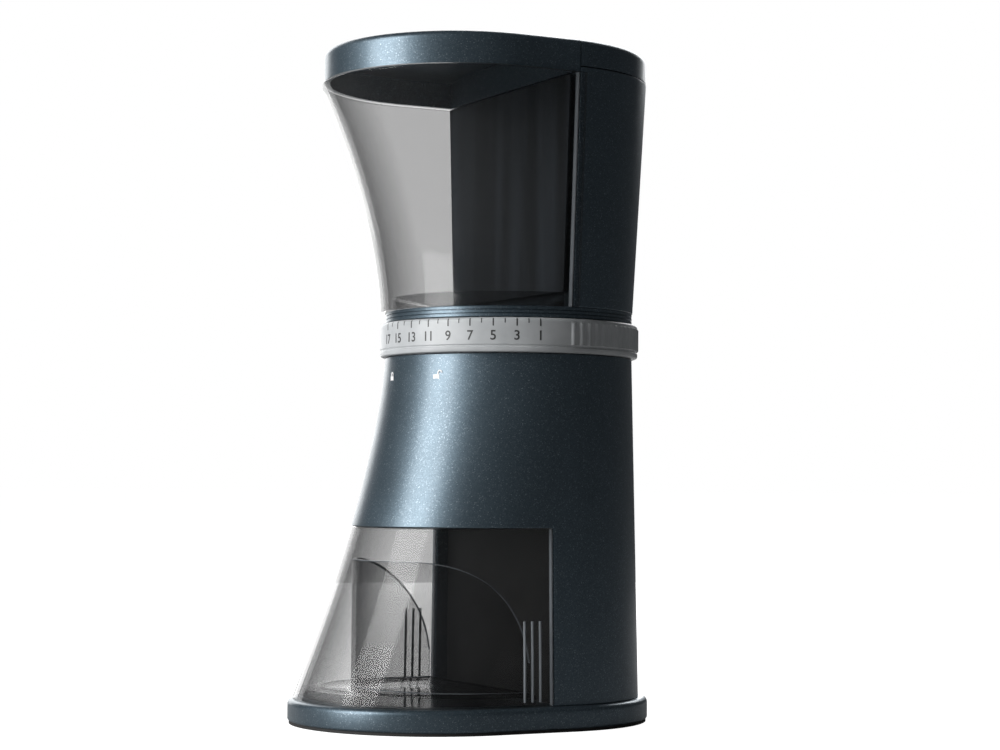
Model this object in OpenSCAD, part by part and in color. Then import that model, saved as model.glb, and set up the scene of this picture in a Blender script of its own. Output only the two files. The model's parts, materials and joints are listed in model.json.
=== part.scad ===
// Upright coffee grinder: bean hopper on top, numbered grind collar at the waist, grounds bin below.
// Millimetres. Origin on the burr axis at the surface it stands on, front towards -Y, +Z up.

/* [Body] */
// Radius of the round plan just under the collar
waist_r = 51.9; // [46:0.1:62.3]
// Radius of the plan where the body meets the base
foot_r = 55.2; // [50:0.1:66]
// Height of the body shell
body_h = 141; // [117:1:170]
// How far the front of the body reaches forward of a round plan, at the base
body_reach = 37.3; // [30:0.1:45]
// Wall of the body shell
body_wall = 2.5; // [2:0.1:3.2]

/* [Base] */
// Height of the base plate
base_h = 8.9; // [7.4:0.1:11]
// How far the base plate stands out around the body
base_lip = 3.8; // [3:0.1:4.6]
// How much less the base plate reaches forward than the body does
base_tuck = 1.8; // [1:0.1:2.5]
// Thickness of the base plate's skirt
base_skirt = 4; // [3:0.1:5]
// Thickness of the base plate's top
base_top = 3.5; // [3:0.1:4.2]
// How far the rubber ring stands below the base plate
foot_proud = 1.2; // [1:0.1:1.5]
// Width of the rubber ring
ring_w = 2.8; // [2.2:0.1:3.2]

/* [Grind collar] */
// How far the collar stands out around the waist
collar_lip = 2.45; // [1.5:0.05:3]
// Height of the collar
collar_h = 14; // [13:0.1:16.8]
// Thickness of the collar's outer skirt
collar_wall = 3; // [2.4:0.1:3.6]
// Radial depth of a grip rib
rib_depth = 0.5; // [0.3:0.1:0.8]
// Angle between two grip ribs
rib_pitch = 4.1; // [4:0.1:6]
// Angle from the front where the grip ribs start, on each side
rib_start = 91; // [88:1:120]

/* [Hopper] */
// Height of the hopper's clear wall
hopper_h = 95.3; // [79:0.1:115]
// Radius of the plan where the hopper meets the lid
lid_r = 57.5; // [54:0.1:69]
// How far the front of the hopper reaches forward at the lid
hopper_reach = 23; // [18:0.1:28]
// Wall of the hopper
hopper_wall = 2.2; // [1.8:0.1:2.7]
// Distance of the hopper's rear face behind the burr axis
seam_y = 1.5; // [1:0.1:3]
// Height of the flange that carries the hopper
flange_h = 4.5; // [3.5:0.1:5.4]
// Radius of the throat that beans fall through
throat_r = 20; // [17:0.1:24]
// Height of the sloping hopper floor
funnel_h = 6; // [4:0.1:9]

/* [Lid] */
// Height of the lid's upright side
lid_h = 10.2; // [9.5:0.1:12.2]
// Radius of the lid's upper edge
lid_round = 3; // [2:0.1:3.6]
// Rise of the lid's top above its edge
lid_crown = 2.3; // [1.5:0.1:2.8]
// Wall of the lid and the rear cap
lid_wall = 2.2; // [1.8:0.1:2.7]
// Radius of the lid hinge's knuckles
knuckle_r = 2.6; // [2.2:0.1:3.1]
// Radius of the lid hinge's pin
lid_pin_r = 1.25; // [1:0.05:1.5]
// Half the width of the lid hinge
hinge_half_w = 22; // [18:0.5:26]

/* [Grounds bin] */
// Height of the bin's window
bin_h = 70; // [58:0.1:80]
// Distance of the window's rear edges in front of the burr axis
bin_back = 8; // [7:0.1:10]
// Wall of the window
window_wall = 2.2; // [1.8:0.1:2.7]
// Wall of the inner tub
tub_wall = 1.8; // [1.5:0.1:2.2]
// Height of the tub's side walls
tub_h = 54; // [45:0.5:60]
// Gap between the tub's sides and the window
tub_gap = 5; // [4:0.1:7]
// Gap between the tub's front and the window, at the tub's rim
tub_front_gap = 2; // [1:0.1:3]
// Distance of the tub's rear face in front of the burr axis
tub_back = 14; // [12:0.5:17]

/* [Drive] */
// Radius of the motor's can
motor_r = 24; // [22:0.5:24.5]
// Height of the motor's can
motor_h = 60; // [50:1:66]
// Tooth size of the gear pair
gear_module = 0.8; // [0.75:0.01:0.85]
// Teeth on the motor's pinion
pinion_teeth = 12; // [12:1:14]
// Teeth on the burr spindle's gear
gear_teeth = 48; // [46:1:50]
// Width of the gear's teeth
gear_w = 6; // [5:0.5:7.2]
// Radius of the burr spindle
spindle_r = 4; // [3.5:0.1:4.8]
// Radius of the motor's shaft
motor_shaft_r = 2.5; // [2.1:0.1:3]
// Wall of a bush
bush_wall = 3; // [2.5:0.1:3.6]

/* [Burrs] */
// Radius of the cone burr at its foot
burr_r = 22; // [20:0.5:24]
// Height of the cone burr
burr_h = 24; // [20:0.5:27]
// Gap between the burrs at the coarsest setting, measured across the cutting faces
burr_gap = 0.8; // [0.7:0.05:1]
// Inner radius of the grinding chamber
chamber_r = 30; // [28:0.5:31]
// Wall of the grinding chamber and of its neck
chamber_wall = 3; // [2.5:0.1:3.2]
// Rise of the burr carrier for one turn of the collar
thread_pitch = 4; // [3:0.5:4.5]

/* [Fits] */
// Gap between pieces that move past each other
part_gap = 0.3; // [0.25:0.05:0.4]
// Gap along the outer seams
seam_gap = 0.4; // [0.3:0.05:0.6]
// Radial clearance of a running fit
run_clear = 0.05; // [0.02:0.01:0.1]
// Radial clearance of a screw in its pilot hole
screw_clear = 0.05; // [0.02:0.01:0.1]

/* [Hidden] */
$fn = 96;

arc_steps = 24;
min_flat = 0.3;
body_curve = 1.5;
hopper_curve = 1.84;
body_rings = 9;
hopper_rings = 8;

z_base = foot_proud + base_h;
z_body_top = z_base + body_h;
z_collar = z_body_top + part_gap;
z_collar_top = z_collar + collar_h;
z_flange = z_collar_top + part_gap;
z_hopper = z_flange + flange_h;
z_lid = z_hopper + hopper_h;
z_lid_edge = z_lid + lid_h;
z_lid_top = z_lid_edge + lid_round;
bulge_z = z_hopper + 1.8;
cap_step = 2.2;

z_bin = z_base + seam_gap;
z_bin_top = z_bin + bin_h;
tub_floor_z = z_bin + 2.5;
z_tub_top = tub_floor_z + tub_h;

// Horizontal plate that closes the bin's bay and carries the drive
plate_t = 3;
// Least height between the base plate and the motor
motor_room = 7;
motor_boss_r = 8;
motor_screw_x = 14;
winding_gap = 5;
z_plate = z_bin_top + 2.5;
z_plate_top = z_plate + plate_t;
plate_reach = body_e(z_plate_top) - 1;
can_h = min(motor_h, z_plate - z_base - motor_room);
plate_r = min(body_r(z_plate), body_r(z_plate_top)) - body_wall - seam_gap;
bulkhead_y = 5 - bin_back;
bulkhead_t = 2;

// Gear train
motor_y = gear_module * (pinion_teeth + gear_teeth) / 2;
gear_z = z_plate_top + 2.5;
tooth_play = 0.16;
tooth_top = 0.9;
tooth_foot = 1.2;

// Grinding chamber, hung between the plate and the collar
chamber_or = chamber_r + chamber_wall;
z_chamber = gear_z + gear_w + 8.5;
chamber_floor = 3;
z_web = z_body_top - 5.1;
web_t = 3;
neck_r = waist_r - 6.8;
web_r = waist_r - body_wall - seam_gap;
post_r = 4;
post_ring = (chamber_or + neck_r - chamber_wall) / 2 + 0.2;
post_angles = [10, 170, 230, 310];
foot_posts = [[-foot_r + 17, 6], [foot_r - 17, 6], [-foot_r + 26, 34], [foot_r - 26, 34]];

// Chute down the front of the chamber, and the window that feeds it
chute_w = 20;
chute_d = 16;
chute_wall = 2;
chute_front = chamber_or + seam_gap + chute_d;
window_h = 10;

// Burrs: the cone stands on the sweeper, and the ring hangs from the carrier
z_sweeper = z_chamber + chamber_floor + 4.3;
sweeper_t = 2.5;
z_burr = z_sweeper + sweeper_t + 3;
burr_top_r = burr_r - burr_h / 2;
ring_rise = 6;
ring_h = 20;
z_ring = z_burr + ring_rise;
ring_r = chamber_r - 2.7;
ring_in_low = burr_r - ring_rise / 2 + burr_gap;
ring_in_top = ring_in_low - 2.8;
carrier_or = chamber_r - 0.4;
z_ledge = z_ring + ring_h;
z_pin = z_collar + 3.9;
carrier_flange_t = 4;
pin_r = 1.5;
pin_angles = [90, 210, 330];
turn_down = 80.8;
turn_up = 34.2;
drop = thread_pitch * turn_down / 360;
rise = thread_pitch * turn_up / 360;
groove_low = z_pin - pin_r - drop - part_gap;
groove_top = z_pin + pin_r + rise + part_gap;

// Screws
screw_r = 1.9;
small_screw_r = 1.4;

// Lid hinge
hinge_y = seam_y + seam_gap / 2;
hinge_z = z_lid_top + lid_crown + 0.3;
knuckle_split = hinge_half_w * 0.55;

// Switch and cord entry, on the rear of the body
switch_z = z_body_top - 45;
switch_w = 16;
switch_h = 12;
switch_y = body_r(switch_z);
gland_z = z_base + 11;
gland_r = 4.5;
cord_r = 3;

// Plan of the body and of the hopper: a round plan, and the same circle moved forward
function body_r(z) = waist_r + (foot_r - waist_r) * (z_body_top - z) / body_h;
function body_e(z) = min_flat + body_reach * pow(max(0, (z_body_top - z) / body_h), body_curve);
function top_r(z) = waist_r + (lid_r - waist_r) * (z - z_collar_top) / (z_lid - z_collar_top);
function top_e(z) = min_flat
    + hopper_reach * pow(max(0, (z - bulge_z) / (z_lid - bulge_z)), hopper_curve);

// Points at height z, anticlockwise from above: an arc of radius r about [0, y]
function arc(r, y, from, to, z) = [for (i = [0:arc_steps])
    let (a = from + (to - from) * i / arc_steps) [r * cos(a), y + r * sin(a), z]];
// The whole plan
function full_plan(r, e, z) = concat(arc(r, 0, 0, 180, z), arc(r, -e, 180, 360, z));
// The part in front of y = back, which starts and ends on that line
function front_path(r, e, back, z) = concat([[-r, back, z]], arc(r, -e, 180, 360, z), [[r, back, z]]);
// The part behind y = front
function rear_path(r, front, z) = arc(r, 0, asin(front / r), 180 - asin(front / r), z);

function steps(low, high, n) = [for (i = [0:n]) low + (high - low) * i / n];

// Insets and heights of the rounded and crowned top, from the edge inwards
function top_steps(r) = concat(
    [for (a = [0:22.5:90]) [lid_round * (1 - cos(a)), z_lid_edge + lid_round * sin(a)]],
    [for (t = [0.25, 0.55, 0.85])
        [lid_round + (r - lid_round) * t, z_lid_top + lid_crown * (1 - pow(1 - t, 2))]]);

// A solid through rings of equal length, closed at both ends
module loft(rings) {
    n = len(rings[0]);
    k = len(rings);
    sides = [for (a = [0:k - 2], b = [0:n - 1])
        let (p = a * n + b, q = a * n + (b + 1) % n) each [[p, p + n, q + n], [p, q + n, q]]];
    caps = [[for (b = [0:n - 1]) b], [for (b = [n - 1:-1:0]) (k - 1) * n + b]];
    polyhedron([for (r = rings) each r], concat(sides, caps));
}

// A wall between two grids of rings: a closed loop, or open with two end faces
module wall(outer, inner, closed = true) {
    n = len(outer[0]);
    k = len(outer);
    m = n * k;
    last = closed ? n - 1 : n - 2;
    sides = [for (a = [0:k - 2], b = [0:last])
        let (p = a * n + b, q = a * n + (b + 1) % n) each [
            [p, p + n, q + n], [p, q + n, q], [m + p, m + q + n, m + p + n], [m + p, m + q, m + q + n]]];
    rims = [for (b = [0:last])
        let (q = (b + 1) % n, t = (k - 1) * n) each [
            [b, q, m + q], [b, m + q, m + b],
            [t + b, m + t + q, t + q], [t + b, m + t + b, m + t + q]]];
    ends = closed ? [] : [for (a = [0:k - 2])
        let (p = a * n, q = a * n + n - 1) each [
            [p, m + p, m + p + n], [p, m + p + n, p + n],
            [q, q + n, m + q + n], [q, m + q + n, m + q]]];
    polyhedron(concat([for (r = outer) each r], [for (r = inner) each r]), concat(sides, rims, ends));
}

// Upright prism on the whole plan
module plan_prism(r, e, z, h) {
    translate([0, 0, z])
        linear_extrude(h)
            union() {
                circle(r);
                translate([0, -e]) circle(r);
                translate([-r, -e]) square([2 * r, e]);
            }
}

module tube(ro, ri, z, h) {
    translate([0, 0, z])
        difference() {
            cylinder(r = ro, h = h);
            translate([0, 0, -1]) cylinder(r = ri, h = h + 2);
        }
}

module at_posts(z) {
    for (a = post_angles) rotate(a) translate([post_ring, 0, z]) children();
}

module at_foot_posts(z) {
    for (p = foot_posts) translate([p[0], p[1], z]) children();
}

module screw(head_r, head_h, shank_r, length) {
    difference() {
        union() {
            cylinder(r = head_r, h = head_h, $fn = 32);
            translate([0, 0, head_h - 0.01]) cylinder(r = shank_r, h = length + 0.01, $fn = 32);
        }
        translate([0, 0, -0.01]) cylinder(r = head_r * 0.45, h = head_h * 0.6, $fn = 6);
    }
}

// One tooth per turn step: foot, flank and tip points
module gear_outline(teeth) {
    pitch_r = gear_module * teeth / 2;
    tip_r = pitch_r + gear_module * tooth_top;
    root_r = pitch_r - gear_module * tooth_foot;
    half = 90 / teeth - tooth_play / pitch_r * 90 / PI;
    lean = 20 * gear_module / pitch_r;
    polygon([for (i = [0:teeth - 1]) let (c = 360 * i / teeth) each [
        root_r * [cos(c - half - lean * 1.1), sin(c - half - lean * 1.1)],
        pitch_r * [cos(c - half), sin(c - half)],
        tip_r * [cos(c - half + lean), sin(c - half + lean)],
        tip_r * [cos(c + half - lean), sin(c + half - lean)],
        pitch_r * [cos(c + half), sin(c + half)],
        root_r * [cos(c + half + lean * 1.1), sin(c + half + lean * 1.1)]]]);
}

module base_plate() {
    r = foot_r + base_lip;
    e = body_reach - base_tuck;
    color([0.22, 0.29, 0.35])
        difference() {
            union() {
                difference() {
                    union() {
                        plan_prism(r, e, foot_proud, base_h - 0.8);
                        plan_prism(r - 0.8, e, foot_proud, base_h);
                    }
                    plan_prism(r - base_skirt, e, foot_proud - 1, base_h - base_top + 1);
                }
                at_foot_posts(foot_proud + 0.5) cylinder(r = 6, h = base_h - 1);
            }
            at_foot_posts(0) cylinder(r = screw_r + 0.3, h = z_base + 1, $fn = 32);
            at_foot_posts(0) cylinder(r = screw_r + 2.3, h = z_base - 4, $fn = 48);
        }
}

module foot_ring() {
    r = foot_r + base_lip - (base_skirt - ring_w) / 2;
    e = body_reach - base_tuck;
    color([0.07, 0.07, 0.075])
        difference() {
            plan_prism(r, e, 0, foot_proud);
            plan_prism(r - ring_w, e, -1, foot_proud + 2);
        }
}

module base_screws() {
    color([0.6, 0.61, 0.63])
        at_foot_posts(z_base - 4 - 2.4) screw(screw_r + 1.8, 2.4, screw_r, 14);
}

module body_shell() {
    zs = steps(z_base, z_body_top, body_rings);
    color([0.24, 0.32, 0.39])
        difference() {
            wall([for (z = zs) full_plan(body_r(z), body_e(z), z)],
                [for (z = zs) full_plan(body_r(z) - body_wall, body_e(z), z)]);
            translate([-2 * foot_r, -bin_back + seam_gap - 200, z_base - 1])
                cube([4 * foot_r, 200, z_bin_top + seam_gap - z_base + 1]);
            translate([-switch_w / 2, 30, switch_z - switch_h / 2])
                cube([switch_w, 60, switch_h]);
            translate([0, 30, gland_z])
                rotate([-90, 0, 0]) cylinder(r = gland_r, h = 60);
        }
}

module chassis() {
    wall_half = min(body_r(z_base), body_r(z_plate)) - body_wall - 1;
    color([0.12, 0.12, 0.13])
        difference() {
            union() {
                plan_prism(plate_r, plate_reach, z_plate, plate_t);
                translate([-wall_half, bulkhead_y, z_base])
                    cube([2 * wall_half, bulkhead_t, z_plate - z_base + 1]);
                at_foot_posts(z_base) cylinder(r = post_r + 0.5, h = z_plate - z_base + 1);
                at_posts(z_plate + 1) cylinder(r = post_r, h = z_web - z_plate - 1);
            }
            at_foot_posts(z_base - 1) cylinder(r = screw_r + screw_clear, h = 17, $fn = 32);
            at_posts(z_web - 12) cylinder(r = small_screw_r + screw_clear, h = 20, $fn = 32);
            translate([0, 0, z_plate - 1]) cylinder(r = spindle_r + bush_wall, h = plate_t + 2);
            translate([0, motor_y, z_plate - 1]) cylinder(r = motor_boss_r, h = plate_t + 2);
            for (s = [-1, 1])
                translate([s * motor_screw_x, motor_y, z_plate - 1])
                    cylinder(r = small_screw_r + 0.2, h = plate_t + 2, $fn = 32);
            translate([-chute_w / 2 - 0.2, -chute_front - 0.2, z_plate - 1])
                cube([chute_w + 0.4, chute_d + 0.4, plate_t + 2]);
        }
}

module motor_can() {
    z = z_plate - can_h;
    color([0.55, 0.56, 0.58])
        translate([0, motor_y, z])
            difference() {
                cylinder(r = motor_r, h = can_h);
                translate([0, 0, 3]) cylinder(r = motor_r - 1.5, h = can_h - 7);
                translate([0, 0, -1]) cylinder(r = motor_shaft_r + run_clear, h = can_h + 2);
                for (s = [-1, 1])
                    translate([s * motor_screw_x, 0, can_h - 5])
                        cylinder(r = small_screw_r + screw_clear, h = 6, $fn = 32);
            }
}

module motor_rotor() {
    z = z_plate - can_h;
    color([0.62, 0.42, 0.25])
        translate([0, motor_y, 0])
            union() {
                translate([0, 0, z - 3]) cylinder(r = motor_shaft_r, h = gear_z + gear_w + 1 - z + 3);
                translate([0, 0, z + 9]) cylinder(r = motor_r - winding_gap, h = can_h - 24);
                translate([0, 0, z + 5]) cylinder(r = 9, h = can_h - 14);
            }
}

module motor_screws() {
    color([0.6, 0.61, 0.63])
        for (s = [-1, 1])
            translate([s * motor_screw_x, motor_y, z_plate_top + 1.6])
                mirror([0, 0, 1]) screw(small_screw_r + 1.2, 1.6, small_screw_r, plate_t + 3.2);
}

module pinion() {
    color([0.72, 0.73, 0.75])
        translate([0, motor_y, gear_z - 0.5])
            difference() {
                linear_extrude(gear_w + 1) rotate(-90) gear_outline(pinion_teeth);
                translate([0, 0, -1]) cylinder(r = motor_shaft_r, h = gear_w + 3);
            }
}

module drive_gear() {
    color([0.85, 0.83, 0.76])
        translate([0, 0, gear_z])
            difference() {
                union() {
                    linear_extrude(gear_w) rotate(90 + 180 / gear_teeth) gear_outline(gear_teeth);
                    cylinder(r = 8, h = gear_w + 2);
                }
                translate([0, 0, -1]) cylinder(r = spindle_r, h = gear_w + 4);
                for (a = [30:60:330])
                    rotate(a) translate([12.5, 0, -1]) cylinder(r = 3, h = gear_w + 2, $fn = 32);
            }
}

module burr_spindle() {
    color([0.7, 0.71, 0.73])
        translate([0, 0, z_plate + 0.4])
            union() {
                cylinder(r = spindle_r, h = z_burr + burr_h - z_plate - 0.4);
                translate([0, 0, z_burr + burr_h - z_plate - 0.41]) cylinder(r = 2.5, h = 6);
            }
}

module bush(z, h) {
    color([0.72, 0.58, 0.3]) tube(spindle_r + bush_wall, spindle_r + run_clear, z, h);
}

module lower_bush() {
    bush(z_plate, plate_t + 1);
}

module upper_bush() {
    bush(z_chamber, chamber_floor + 3);
}

module sweeper() {
    color([0.15, 0.15, 0.16])
        translate([0, 0, z_sweeper])
            difference() {
                union() {
                    cylinder(r = 9, h = sweeper_t + 3);
                    for (a = [0:90:270])
                        rotate(a) translate([0, -1.5, 0]) cube([chamber_r - 1, 3, sweeper_t]);
                }
                translate([0, 0, -1]) cylinder(r = spindle_r, h = sweeper_t + 5);
            }
}

module cone_burr() {
    color([0.5, 0.51, 0.53])
        translate([0, 0, z_burr])
            difference() {
                cylinder(r1 = burr_r, r2 = burr_top_r, h = burr_h);
                translate([0, 0, -1]) cylinder(r = spindle_r, h = burr_h + 2);
                for (a = [0:36:324])
                    rotate(a)
                        translate([burr_r - 1.5, 0, -1])
                            rotate([14, -26.6, 0]) translate([0, -0.9, 0]) cube([4, 1.8, burr_h + 8]);
            }
}

module burr_nut() {
    color([0.7, 0.71, 0.73])
        translate([0, 0, z_burr + burr_h])
            difference() {
                cylinder(r = 5.5, h = 4.5, $fn = 6);
                translate([0, 0, -1]) cylinder(r = 2.5 + screw_clear, h = 7, $fn = 32);
            }
}

module ring_burr() {
    color([0.5, 0.51, 0.53])
        translate([0, 0, z_ring])
            difference() {
                cylinder(r = ring_r, h = ring_h);
                translate([0, 0, -0.01]) cylinder(r1 = ring_in_low, r2 = ring_in_top, h = ring_h + 0.02);
                for (a = [0:30:330])
                    rotate(a)
                        translate([ring_in_top + 0.2, -0.8, 4]) cube([2.4, 1.6, ring_h]);
            }
}

module burr_carrier() {
    low = z_pin - carrier_flange_t / 2;
    top = z_pin + carrier_flange_t / 2;
    rim = neck_r - chamber_wall - 0.4;
    color([0.16, 0.16, 0.17])
        difference() {
            rotate_extrude()
                polygon([[ring_r + 0.05, z_ring], [carrier_or, z_ring], [carrier_or, low], [rim, low],
                    [rim, top], [ring_r, top], [ring_r - 5, z_ledge + 3.3],
                    [ring_in_top + 0.5, z_ledge + 3.3],
                    [ring_in_top + 0.5, z_ledge], [ring_r + 0.05, z_ledge]]);
            for (a = pin_angles)
                rotate(a) translate([rim - 6, 0, z_pin])
                    rotate([0, 90, 0]) cylinder(r = pin_r + 0.02, h = 10, $fn = 32);
        }
}

module carrier_pins() {
    rim = neck_r - chamber_wall - 0.4;
    color([0.7, 0.71, 0.73])
        for (a = pin_angles)
            rotate(a) translate([rim - 6, 0, z_pin])
                rotate([0, 90, 0]) cylinder(r = pin_r, h = neck_r + 1.5 - rim + 6, $fn = 32);
}

module burr_housing() {
    color([0.1, 0.1, 0.11])
        difference() {
            union() {
                tube(chamber_or, spindle_r + bush_wall, z_chamber, chamber_floor);
                tube(chamber_or, chamber_r, z_chamber, z_web - z_chamber + 1);
                tube(web_r, chamber_r, z_web, web_t);
                tube(neck_r, neck_r - chamber_wall, z_web + 1, z_flange - z_web - 1);
            }
            translate([-chute_w / 2 + chute_wall, -chamber_or - 3, z_chamber + chamber_floor])
                cube([chute_w - 2 * chute_wall, chamber_wall + 6, window_h]);
            for (a = pin_angles)
                rotate(a)
                    translate([neck_r - chamber_wall - 2, -pin_r - part_gap, groove_low])
                        cube([chamber_wall + 4, 2 * (pin_r + part_gap), groove_top - groove_low]);
            at_posts(z_web - 1) cylinder(r = small_screw_r + 0.2, h = web_t + 2, $fn = 32);
        }
}

module housing_screws() {
    color([0.6, 0.61, 0.63])
        at_posts(z_web + web_t + 1.6)
            mirror([0, 0, 1]) screw(small_screw_r + 1.2, 1.6, small_screw_r, web_t + 9);
}

module grind_collar() {
    r = waist_r + collar_lip;
    c = 1.2;
    top = z_collar_top;
    inner = neck_r + part_gap;
    color([0.72, 0.74, 0.76])
        difference() {
            union() {
                rotate_extrude()
                    polygon([[r - c, z_collar], [r, z_collar + c], [r, top - c], [r - c, top], [inner, top],
                        [inner, z_collar], [inner + 3.6, z_collar], [inner + 3.6, top - collar_wall],
                        [r - collar_wall, top - collar_wall], [r - collar_wall, z_collar]]);
                for (a = [rib_start:rib_pitch:360 - rib_start])
                    rotate(a - 90)
                        translate([r - 0.3, 0, z_collar + 2])
                            cylinder(r = rib_depth + 0.3, h = collar_h - 4, $fn = 16);
            }
            tube(inner + 1.6, inner - 1, groove_low, groove_top - groove_low);
        }
}

module grounds_chute() {
    low = z_plate - 1;
    top = z_chamber + chamber_floor + window_h + chute_wall;
    inside = chute_w - 2 * chute_wall;
    color([0.14, 0.14, 0.15])
        translate([-chute_w / 2, -chute_front, 0])
            difference() {
                translate([0, 0, low]) cube([chute_w, chute_d, top - low]);
                translate([chute_wall, chute_wall, low - 1])
                    cube([inside, chute_d - 2 * chute_wall, top - chute_wall - low + 1]);
                translate([chute_wall, chute_wall, z_chamber + chamber_floor])
                    cube([inside, chute_d, window_h]);
            }
}

module hopper_base() {
    r = top_r(z_flange);
    spigot = neck_r - chamber_wall - 0.4;
    color([0.2, 0.27, 0.33])
        union() {
            tube(r, throat_r, z_flange, flange_h);
            tube(spigot, spigot - 3, z_flange - 6.5, 7);
        }
}

module hopper() {
    zs = steps(z_hopper, z_lid - seam_gap, hopper_rings);
    color([0.35, 0.37, 0.4, 0.45])
        wall([for (z = zs) front_path(top_r(z), top_e(z), seam_y, z)],
            [for (z = zs) front_path(top_r(z) - hopper_wall, top_e(z), seam_y - hopper_wall, z)]);
}

module hopper_floor() {
    r = min(top_r(z_hopper), top_r(z_hopper + funnel_h)) - hopper_wall - seam_gap;
    back = seam_y - hopper_wall - seam_gap;
    color([0.5, 0.52, 0.54, 0.5])
        difference() {
            translate([0, 0, z_hopper]) cylinder(r = r, h = funnel_h);
            translate([0, 0, z_hopper - 0.01])
                cylinder(r1 = throat_r - 2, r2 = r - 1.6, h = funnel_h + 0.02);
            translate([-r - 1, back, z_hopper - 1]) cube([2 * r + 2, r + 2, funnel_h + 2]);
        }
}

module spine() {
    zs = steps(z_hopper, z_lid + cap_step - seam_gap, hopper_rings);
    front = seam_y + seam_gap;
    color([0.2, 0.27, 0.33])
        wall([for (z = zs) rear_path(top_r(z), front, z)],
            [for (z = zs) rear_path(top_r(z) - body_wall, front + body_wall, z)]);
}

// A knuckle from x0 to x1, with a web into the cap (side 1) or into the lid (side -1)
module knuckle(x0, x1, side) {
    difference() {
        union() {
            translate([x0, hinge_y, hinge_z])
                rotate([0, 90, 0]) cylinder(r = knuckle_r, h = x1 - x0, $fn = 48);
            translate([x0, side > 0 ? hinge_y : hinge_y - knuckle_r - 3, hinge_z - knuckle_r])
                cube([x1 - x0, knuckle_r + 3, knuckle_r]);
        }
        translate([x0 - 1, hinge_y, hinge_z])
            rotate([0, 90, 0]) cylinder(r = lid_pin_r + run_clear, h = x1 - x0 + 2, $fn = 32);
    }
}

// Room for the other leaf's knuckles to turn in
module knuckle_room(x0, x1) {
    r = knuckle_r + part_gap;
    translate([x0 - part_gap, hinge_y - r, hinge_z - r])
        cube([x1 - x0 + 2 * part_gap, 2 * r, 30]);
}

module rear_cap() {
    z0 = z_lid + cap_step;
    front = seam_y + seam_gap;
    r = top_r(z_lid_edge);
    inner_r = r - lid_wall;
    color([0.25, 0.33, 0.4])
        union() {
            difference() {
                loft(concat(
                    [rear_path(inner_r, front + lid_wall, z_lid_edge),
                        rear_path(top_r(z0) - lid_wall, front + lid_wall, z0),
                        rear_path(top_r(z0), front, z0)],
                    [for (s = top_steps(r)) rear_path(r - s[0], front, s[1])]));
                knuckle_room(-hinge_half_w, hinge_half_w);
            }
            knuckle(knuckle_split + part_gap / 2, hinge_half_w, 1);
            knuckle(-hinge_half_w, -knuckle_split - part_gap / 2, 1);
        }
}

module lid() {
    r = top_r(z_lid_edge);
    e = top_e(z_lid_edge);
    color([0.27, 0.35, 0.42])
        union() {
            difference() {
                loft(concat(
                    [front_path(r - lid_wall, e, seam_y - lid_wall, z_lid_edge),
                        front_path(top_r(z_lid) - lid_wall, top_e(z_lid), seam_y - lid_wall, z_lid),
                        front_path(top_r(z_lid), top_e(z_lid), seam_y, z_lid)],
                    [for (s = top_steps(r)) front_path(r - s[0], e, seam_y, s[1])]));
                knuckle_room(-hinge_half_w, hinge_half_w);
            }
            knuckle(-knuckle_split + part_gap / 2, knuckle_split - part_gap / 2, -1);
        }
}

module lid_pin() {
    color([0.7, 0.71, 0.73])
        translate([-hinge_half_w, hinge_y, hinge_z])
            rotate([0, 90, 0]) cylinder(r = lid_pin_r, h = 2 * hinge_half_w, $fn = 32);
}

module bin_window() {
    zs = steps(z_bin, z_bin_top, 6);
    color([0.35, 0.37, 0.4, 0.45])
        wall([for (z = zs) front_path(body_r(z), body_e(z), -bin_back, z)],
            [for (z = zs) front_path(body_r(z) - window_wall, body_e(z), -bin_back, z)], false);
}

// Tub with a rounded rear: a prism on a stadium plan, trimmed by a side profile with a large rear corner
module bin_tub() {
    r = body_r(z_bin_top) - window_wall - tub_gap;
    reach = body_e(z_tub_top) + body_r(z_tub_top) - window_wall - tub_front_gap - r;
    corner = tub_h - 10;
    front = reach + r + 2;
    color([0.4, 0.42, 0.45, 0.45])
        union() {
            intersection() {
                difference() {
                    tub_prism(r, reach, tub_floor_z, tub_h);
                    tub_prism(r - tub_wall, reach, tub_floor_z + 2, tub_h);
                }
                translate([-r - 1, 0, tub_floor_z])
                    rotate([90, 0, 90])
                        linear_extrude(2 * r + 2)
                            union() {
                                translate([-tub_back - corner, tub_h - corner]) circle(corner);
                                translate([-front, 0]) square([front - tub_back - corner, tub_h]);
                                translate([-front, 0]) square([front - tub_back, tub_h - corner]);
                            }
            }
            tub_foot();
        }
}

// Stadium plan whose flat rear face lies tub_back in front of the axis
module tub_prism(r, reach, z, h) {
    translate([0, 0, z])
        linear_extrude(h)
            union() {
                translate([0, -reach]) circle(r);
                translate([-r, -reach]) square([2 * r, reach - tub_back]);
            }
}

// Floor plate under the tub that reaches out to the window
module tub_foot() {
    top = tub_floor_z + 1.5;
    r = body_r(top) - window_wall - part_gap;
    e = body_e(top);
    translate([0, 0, z_bin + 0.3])
        linear_extrude(top - z_bin - 0.3)
            difference() {
                union() {
                    translate([0, -e]) circle(r);
                    translate([-r, -e]) square([2 * r, e]);
                }
                translate([-r - 1, -tub_back - 0.5]) square([2 * r + 2, 2 * r]);
            }
}

module switch_frame() {
    back = switch_y - 9;
    color([0.05, 0.05, 0.055])
        difference() {
            translate([-switch_w / 2 + 0.2, back, switch_z - switch_h / 2 + 0.2])
                cube([switch_w - 0.4, switch_y + 0.6 - back, switch_h - 0.4]);
            translate([-switch_w / 2 + 2, back + 2, switch_z - switch_h / 2 + 1.4])
                cube([switch_w - 4, 12, switch_h - 2.8]);
            translate([-switch_w / 2, switch_y - 3, switch_z])
                rotate([0, 90, 0]) cylinder(r = 1 + run_clear, h = switch_w, $fn = 32);
        }
}

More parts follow.
